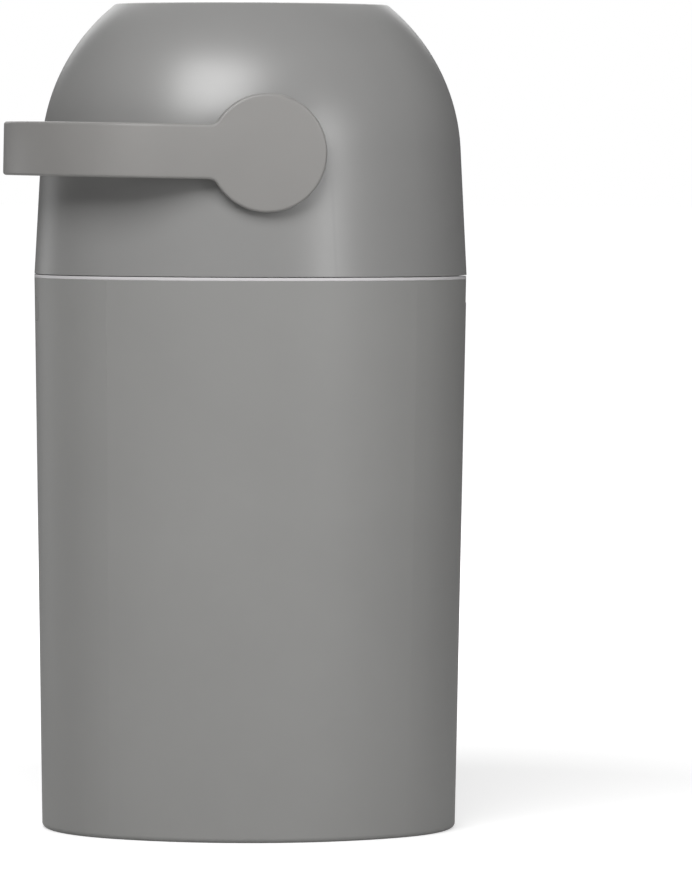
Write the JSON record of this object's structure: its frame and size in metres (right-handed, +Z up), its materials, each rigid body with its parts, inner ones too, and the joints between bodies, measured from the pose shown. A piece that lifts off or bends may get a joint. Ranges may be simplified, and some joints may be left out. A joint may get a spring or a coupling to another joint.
{
  "type": "nappy bin",
  "caption": "Tall oval bin with a domed head: a U-shaped handle turns a ball-shaped drum whose drop piston pushes each nappy down a chute into the bag.",
  "frame": {"origin": "centre of the flat underside, on the floor", "axes": "+Z up; X along the width, with the latch and the resting handle's bar at -X and the hinge at +X; Y along the pivot axis, the near disc at -Y"},
  "size_m": [0.3277, 0.26, 0.5821],
  "materials": {
    "shell_grey": "warm mid grey moulding, finely textured, satin sheen",
    "ring_plastic": "pale grey moulding, satin",
    "inner_plastic": "light grey moulding, satin",
    "acetal": "off-white sliding plastic, waxy",
    "seal_rubber": "soft dark rubber, matt",
    "steel": "bright zinc plated steel"
  },
  "bodies": {
    "bin": {"bin_body": "shell_grey", "bag_ring": "ring_plastic", "hinge_pin": "steel"},
    "latch": {"latch_button": "shell_grey"},
    "head": {"dome_cover": "shell_grey", "head_base": "inner_plastic", "head_gasket": "seal_rubber", "head_screws": "steel", "latch_tongue": "acetal", "throat_liner": "inner_plastic", "throat_seal": "seal_rubber", "chute_seal": "seal_rubber", "near_pivot_bush": "acetal", "far_pivot_bush": "acetal"},
    "drum": {"drum_tube": "inner_plastic", "upper_lip_ring": "acetal", "lower_lip_ring": "acetal", "near_drum_shell": "inner_plastic", "far_drum_shell": "inner_plastic", "handle": "shell_grey", "handle_screws": "steel"},
    "piston": {"upper_piston_cap": "acetal", "lower_piston_cap": "acetal", "piston_weight": "steel", "piston_wiper": "seal_rubber"}
  },
  "joints": [
    {"name": "latch_press", "type": "slide", "parent": "bin", "child": "latch", "axis": [1, 0, 0], "range_m": [0, 0.003], "stiffness_N_per_m": 800, "deforming": ["latch_tongue"]},
    {"name": "head_open", "type": "hinge", "parent": "bin", "child": "head", "pos_m": [0.1441, 0, 0.3794], "axis": [0, 1, 0], "range_deg": [0, 95], "deforming": ["latch_tongue"]},
    {"name": "handle_flip", "type": "hinge", "parent": "head", "child": "drum", "pos_m": [0, 0, 0.4765], "axis": [0, 1, 0], "range_deg": [0, 180]},
    {"name": "piston_drop", "type": "slide", "parent": "drum", "child": "piston", "axis": [0, 0, 1], "range_m": [0, 0.1065]}
  ]
}
